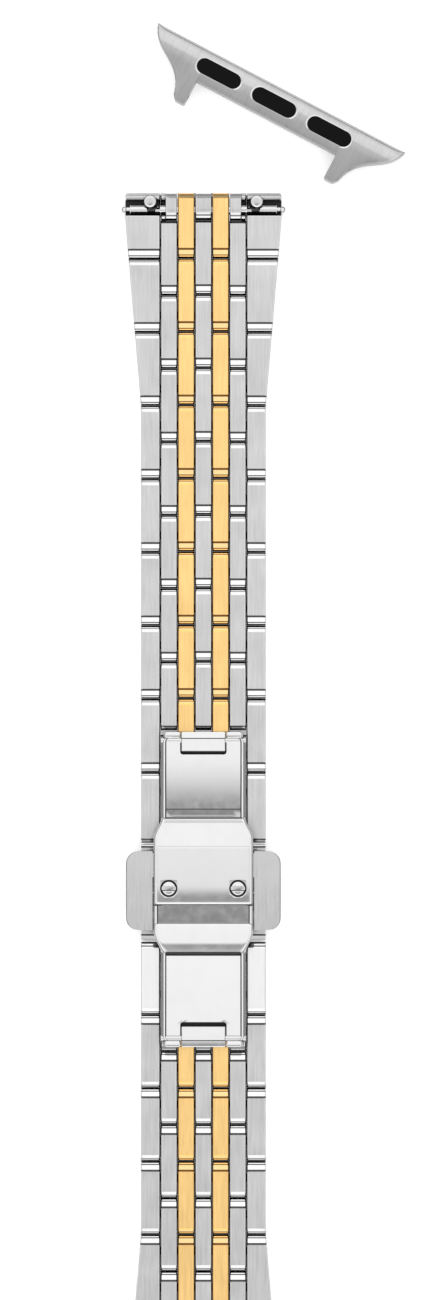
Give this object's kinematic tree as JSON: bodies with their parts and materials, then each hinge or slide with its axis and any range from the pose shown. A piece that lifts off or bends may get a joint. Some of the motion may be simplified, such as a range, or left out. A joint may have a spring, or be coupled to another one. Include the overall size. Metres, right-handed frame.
{
  "type": "watch bracelet",
  "caption": "Two-tone metal watch bracelet of hinged links with a push-button butterfly clasp, quick-release spring bars and slide-in end adapters.",
  "frame": {"origin": "midway between the two hinge pins of the clasp, on the plane of the links' outer faces", "axes": "+Z from the outer face to the skin side, +Y towards the upper end, which is the longer half, +X to the right as seen from the skin side"},
  "size_m": [0.0433, 0.1849, 0.0053],
  "materials": {
    "brushed_steel": "satin brushed along the bracelet, polished edges",
    "polished_steel": "polished",
    "brushed_gold": "gold plated steel, satin brushed, polished ends",
    "two_tone_link": "steel outer pieces and gold plated inner pieces, satin brushed, polished ends",
    "spring_steel": "drawn wire",
    "black_rubber": "matte"
  },
  "bodies": {
    "clasp": {"clasp_frame": "polished_steel", "clasp_bridge": "polished_steel", "bridge_screws": "polished_steel", "hinge_pins": "polished_steel", "pusher_spring_right": "spring_steel", "pusher_spring_left": "spring_steel"},
    "pusher_right": {"pusher_right": "brushed_steel"},
    "pusher_left": {"pusher_left": "brushed_steel"},
    "leaf_upper": {"leaf_upper": "polished_steel", "centre_steel_upper": "brushed_steel", "centre_gold_upper": "brushed_gold"},
    "upper_outer_link_1": {"upper_outer_link_1": "two_tone_link"},
    "upper_inner_link_1": {"upper_inner_link_1": "brushed_steel"},
    "upper_outer_link_2": {"upper_outer_link_2": "two_tone_link"},
    "upper_inner_link_2": {"upper_inner_link_2": "brushed_steel"},
    "upper_outer_link_3": {"upper_outer_link_3": "two_tone_link"},
    "upper_inner_link_3": {"upper_inner_link_3": "brushed_steel"},
    "upper_outer_link_4": {"upper_outer_link_4": "two_tone_link"},
    "upper_inner_link_4": {"upper_inner_link_4": "brushed_steel"},
    "upper_outer_link_5": {"upper_outer_link_5": "two_tone_link"},
    "upper_inner_link_5": {"upper_inner_link_5": "brushed_steel"},
    "upper_outer_link_6": {"upper_outer_link_6": "two_tone_link"},
    "upper_inner_link_6": {"upper_inner_link_6": "brushed_steel"},
    "upper_outer_link_7": {"upper_outer_link_7": "two_tone_link"},
    "upper_inner_link_7": {"upper_inner_link_7": "brushed_steel"},
    "upper_outer_link_8": {"upper_outer_link_8": "two_tone_link"},
    "upper_inner_link_8": {"upper_inner_link_8": "brushed_steel"},
    "upper_end": {"end_steel_upper": "brushed_steel", "end_gold_upper": "brushed_gold", "spring_bar_tube_upper": "polished_steel", "spring_bar_spring_upper": "spring_steel"},
    "plunger_right_upper": {"plunger_right_upper": "polished_steel"},
    "plunger_left_upper": {"plunger_left_upper": "polished_steel"},
    "adapter_upper": {"adapter_upper": "brushed_steel", "adapter_pads_upper": "black_rubber"},
    "adapter_catch_upper": {"adapter_catch_upper": "black_rubber"},
    "leaf_lower": {"leaf_lower": "polished_steel", "centre_steel_lower": "brushed_steel", "centre_gold_lower": "brushed_gold"},
    "lower_outer_link_1": {"lower_outer_link_1": "two_tone_link"},
    "lower_inner_link_1": {"lower_inner_link_1": "brushed_steel"},
    "lower_outer_link_2": {"lower_outer_link_2": "two_tone_link"},
    "lower_inner_link_2": {"lower_inner_link_2": "brushed_steel"},
    "lower_outer_link_3": {"lower_outer_link_3": "two_tone_link"},
    "lower_inner_link_3": {"lower_inner_link_3": "brushed_steel"},
    "lower_outer_link_4": {"lower_outer_link_4": "two_tone_link"},
    "lower_inner_link_4": {"lower_inner_link_4": "brushed_steel"},
    "lower_outer_link_5": {"lower_outer_link_5": "two_tone_link"},
    "lower_inner_link_5": {"lower_inner_link_5": "brushed_steel"},
    "lower_outer_link_6": {"lower_outer_link_6": "two_tone_link"},
    "lower_inner_link_6": {"lower_inner_link_6": "brushed_steel"},
    "lower_end": {"end_steel_lower": "brushed_steel", "end_gold_lower": "brushed_gold", "spring_bar_tube_lower": "polished_steel", "spring_bar_spring_lower": "spring_steel"},
    "plunger_right_lower": {"plunger_right_lower": "polished_steel"},
    "plunger_left_lower": {"plunger_left_lower": "polished_steel"},
    "adapter_lower": {"adapter_lower": "brushed_steel", "adapter_pads_lower": "black_rubber"},
    "adapter_catch_lower": {"adapter_catch_lower": "black_rubber"}
  },
  "joints": [
    {"name": "leaf_upper_hinge", "type": "hinge", "parent": "clasp", "child": "leaf_upper", "pos_m": [0, 0.01883, 0.00317], "axis": [1, 0, 0], "range_deg": [0, 165]},
    {"name": "leaf_lower_hinge", "type": "hinge", "parent": "clasp", "child": "leaf_lower", "pos_m": [0, -0.01883, 0.00317], "axis": [-1, 0, 0], "range_deg": [0, 165]},
    {"name": "pusher_right_press", "type": "slide", "parent": "clasp", "child": "pusher_right", "axis": [-1, 0, 0], "range_m": [0, 0.00095], "stiffness_N_per_m": 300, "springref_m": -0.001, "deforming": ["pusher_spring_right"]},
    {"name": "pusher_left_press", "type": "slide", "parent": "clasp", "child": "pusher_left", "axis": [1, 0, 0], "range_m": [0, 0.00095], "stiffness_N_per_m": 300, "springref_m": -0.001, "deforming": ["pusher_spring_left"]},
    {"name": "plunger_right_upper_slide", "type": "slide", "parent": "upper_end", "child": "plunger_right_upper", "axis": [-1, 0, 0], "range_m": [0, 0.001], "stiffness_N_per_m": 200, "springref_m": -0.001, "deforming": ["spring_bar_spring_upper"]},
    {"name": "plunger_left_upper_slide", "type": "slide", "parent": "upper_end", "child": "plunger_left_upper", "axis": [1, 0, 0], "range_m": [0, 0.001], "stiffness_N_per_m": 200, "springref_m": -0.001, "deforming": ["spring_bar_spring_upper"]},
    {"name": "plunger_right_lower_slide", "type": "slide", "parent": "lower_end", "child": "plunger_right_lower", "axis": [-1, 0, 0], "range_m": [0, 0.001], "stiffness_N_per_m": 200, "springref_m": -0.001, "deforming": ["spring_bar_spring_lower"]},
    {"name": "plunger_left_lower_slide", "type": "slide", "parent": "lower_end", "child": "plunger_left_lower", "axis": [1, 0, 0], "range_m": [0, 0.001], "stiffness_N_per_m": 200, "springref_m": -0.001, "deforming": ["spring_bar_spring_lower"]},
    {"name": "adapter_upper_lift", "type": "slide", "parent": "clasp", "child": "adapter_upper", "axis": [0, 0, 1], "range_m": [0, 0.02]},
    {"name": "adapter_catch_upper_press", "type": "slide", "parent": "adapter_upper", "child": "adapter_catch_upper", "axis": [0, 0, -1], "range_m": [0, 0.00045], "stiffness_N_per_m": 150, "springref_m": -0.0005},
    {"name": "adapter_lower_pivot", "type": "hinge", "parent": "lower_end", "child": "adapter_lower", "pos_m": [0, -0.06867, 0.0013], "axis": [1, 0, 0], "range_deg": [-45, 45]},
    {"name": "adapter_catch_lower_press", "type": "slide", "parent": "adapter_lower", "child": "adapter_catch_lower", "axis": [0, 0, -1], "range_m": [0, 0.00045], "stiffness_N_per_m": 150, "springref_m": -0.0005},
    {"name": "upper_pivot_01", "type": "hinge", "parent": "leaf_upper", "child": "upper_outer_link_1", "pos_m": [0, 0.00766, 0.0013], "axis": [1, 0, 0], "range_deg": [-2.5, 0]},
    {"name": "upper_pivot_02", "type": "hinge", "parent": "upper_outer_link_1", "child": "upper_inner_link_1", "pos_m": [0, 0.01231, 0.0013], "axis": [1, 0, 0], "range_deg": [-2.5, 0]},
    {"name": "upper_pivot_03", "type": "hinge", "parent": "upper_inner_link_1", "child": "upper_outer_link_2", "pos_m": [0, 0.01695, 0.0013], "axis": [1, 0, 0], "range_deg": [-2.5, 0]},
    {"name": "upper_pivot_04", "type": "hinge", "parent": "upper_outer_link_2", "child": "upper_inner_link_2", "pos_m": [0, 0.0216, 0.0013], "axis": [-1, 0, 0], "range_deg": [-25, 20]},
    {"name": "upper_pivot_05", "type": "hinge", "parent": "upper_inner_link_2", "child": "upper_outer_link_3", "pos_m": [0, 0.02624, 0.0013], "axis": [-1, 0, 0], "range_deg": [-25, 20]},
    {"name": "upper_pivot_06", "type": "hinge", "parent": "upper_outer_link_3", "child": "upper_inner_link_3", "pos_m": [0, 0.03089, 0.0013], "axis": [-1, 0, 0], "range_deg": [-25, 20]},
    {"name": "upper_pivot_07", "type": "hinge", "parent": "upper_inner_link_3", "child": "upper_outer_link_4", "pos_m": [0, 0.03553, 0.0013], "axis": [-1, 0, 0], "range_deg": [-25, 20]},
    {"name": "upper_pivot_08", "type": "hinge", "parent": "upper_outer_link_4", "child": "upper_inner_link_4", "pos_m": [0, 0.04018, 0.0013], "axis": [1, 0, 0], "range_deg": [-20, 25]},
    {"name": "upper_pivot_09", "type": "hinge", "parent": "upper_inner_link_4", "child": "upper_outer_link_5", "pos_m": [0, 0.04482, 0.0013], "axis": [-1, 0, 0], "range_deg": [-25, 20]},
    {"name": "upper_pivot_10", "type": "hinge", "parent": "upper_outer_link_5", "child": "upper_inner_link_5", "pos_m": [0, 0.04947, 0.0013], "axis": [-1, 0, 0], "range_deg": [-25, 20]},
    {"name": "upper_pivot_11", "type": "hinge", "parent": "upper_inner_link_5", "child": "upper_outer_link_6", "pos_m": [0, 0.05411, 0.0013], "axis": [-1, 0, 0], "range_deg": [-25, 20]},
    {"name": "upper_pivot_12", "type": "hinge", "parent": "upper_outer_link_6", "child": "upper_inner_link_6", "pos_m": [0, 0.05876, 0.0013], "axis": [1, 0, 0], "range_deg": [-20, 25]},
    {"name": "upper_pivot_13", "type": "hinge", "parent": "upper_inner_link_6", "child": "upper_outer_link_7", "pos_m": [0, 0.0634, 0.0013], "axis": [-1, 0, 0], "range_deg": [-25, 20]},
    {"name": "upper_pivot_14", "type": "hinge", "parent": "upper_outer_link_7", "child": "upper_inner_link_7", "pos_m": [0, 0.06805, 0.0013], "axis": [-1, 0, 0], "range_deg": [-25, 20]},
    {"name": "upper_pivot_15", "type": "hinge", "parent": "upper_inner_link_7", "child": "upper_outer_link_8", "pos_m": [0, 0.07269, 0.0013], "axis": [1, 0, 0], "range_deg": [-20, 25]},
    {"name": "upper_pivot_16", "type": "hinge", "parent": "upper_outer_link_8", "child": "upper_inner_link_8", "pos_m": [0, 0.07734, 0.0013], "axis": [-1, 0, 0], "range_deg": [-25, 20]},
    {"name": "upper_pivot_17", "type": "hinge", "parent": "upper_inner_link_8", "child": "upper_end", "pos_m": [0, 0.08198, 0.0013], "axis": [-1, 0, 0], "range_deg": [-25, 20]},
    {"name": "lower_pivot_01", "type": "hinge", "parent": "leaf_lower", "child": "lower_outer_link_1", "pos_m": [0, -0.0088, 0.0013], "axis": [-1, 0, 0], "range_deg": [-2.5, 0]},
    {"name": "lower_pivot_02", "type": "hinge", "parent": "lower_outer_link_1", "child": "lower_inner_link_1", "pos_m": [0, -0.01345, 0.0013], "axis": [-1, 0, 0], "range_deg": [-2.5, 0]},
    {"name": "lower_pivot_03", "type": "hinge", "parent": "lower_inner_link_1", "child": "lower_outer_link_2", "pos_m": [0, -0.01809, 0.0013], "axis": [-1, 0, 0], "range_deg": [-2.5, 0]},
    {"name": "lower_pivot_04", "type": "hinge", "parent": "lower_outer_link_2", "child": "lower_inner_link_2", "pos_m": [0, -0.02274, 0.0013], "axis": [1, 0, 0], "range_deg": [-25, 20]},
    {"name": "lower_pivot_05", "type": "hinge", "parent": "lower_inner_link_2", "child": "lower_outer_link_3", "pos_m": [0, -0.02738, 0.0013], "axis": [1, 0, 0], "range_deg": [-25, 20]},
    {"name": "lower_pivot_06", "type": "hinge", "parent": "lower_outer_link_3", "child": "lower_inner_link_3", "pos_m": [0, -0.03203, 0.0013], "axis": [1, 0, 0], "range_deg": [-25, 20]},
    {"name": "lower_pivot_07", "type": "hinge", "parent": "lower_inner_link_3", "child": "lower_outer_link_4", "pos_m": [0, -0.03667, 0.0013], "axis": [1, 0, 0], "range_deg": [-25, 20]},
    {"name": "lower_pivot_08", "type": "hinge", "parent": "lower_outer_link_4", "child": "lower_inner_link_4", "pos_m": [0, -0.04132, 0.0013], "axis": [-1, 0, 0], "range_deg": [-20, 25]},
    {"name": "lower_pivot_09", "type": "hinge", "parent": "lower_inner_link_4", "child": "lower_outer_link_5", "pos_m": [0, -0.04596, 0.0013], "axis": [1, 0, 0], "range_deg": [-25, 20]},
    {"name": "lower_pivot_10", "type": "hinge", "parent": "lower_outer_link_5", "child": "lower_inner_link_5", "pos_m": [0, -0.05061, 0.0013], "axis": [1, 0, 0], "range_deg": [-25, 20]},
    {"name": "lower_pivot_11", "type": "hinge", "parent": "lower_inner_link_5", "child": "lower_outer_link_6", "pos_m": [0, -0.05525, 0.0013], "axis": [-1, 0, 0], "range_deg": [-20, 25]},
    {"name": "lower_pivot_12", "type": "hinge", "parent": "lower_outer_link_6", "child": "lower_inner_link_6", "pos_m": [0, -0.0599, 0.0013], "axis": [1, 0, 0], "range_deg": [-25, 20]},
    {"name": "lower_pivot_13", "type": "hinge", "parent": "lower_inner_link_6", "child": "lower_end", "pos_m": [0, -0.06454, 0.0013], "axis": [1, 0, 0], "range_deg": [-25, 20]}
  ]
}
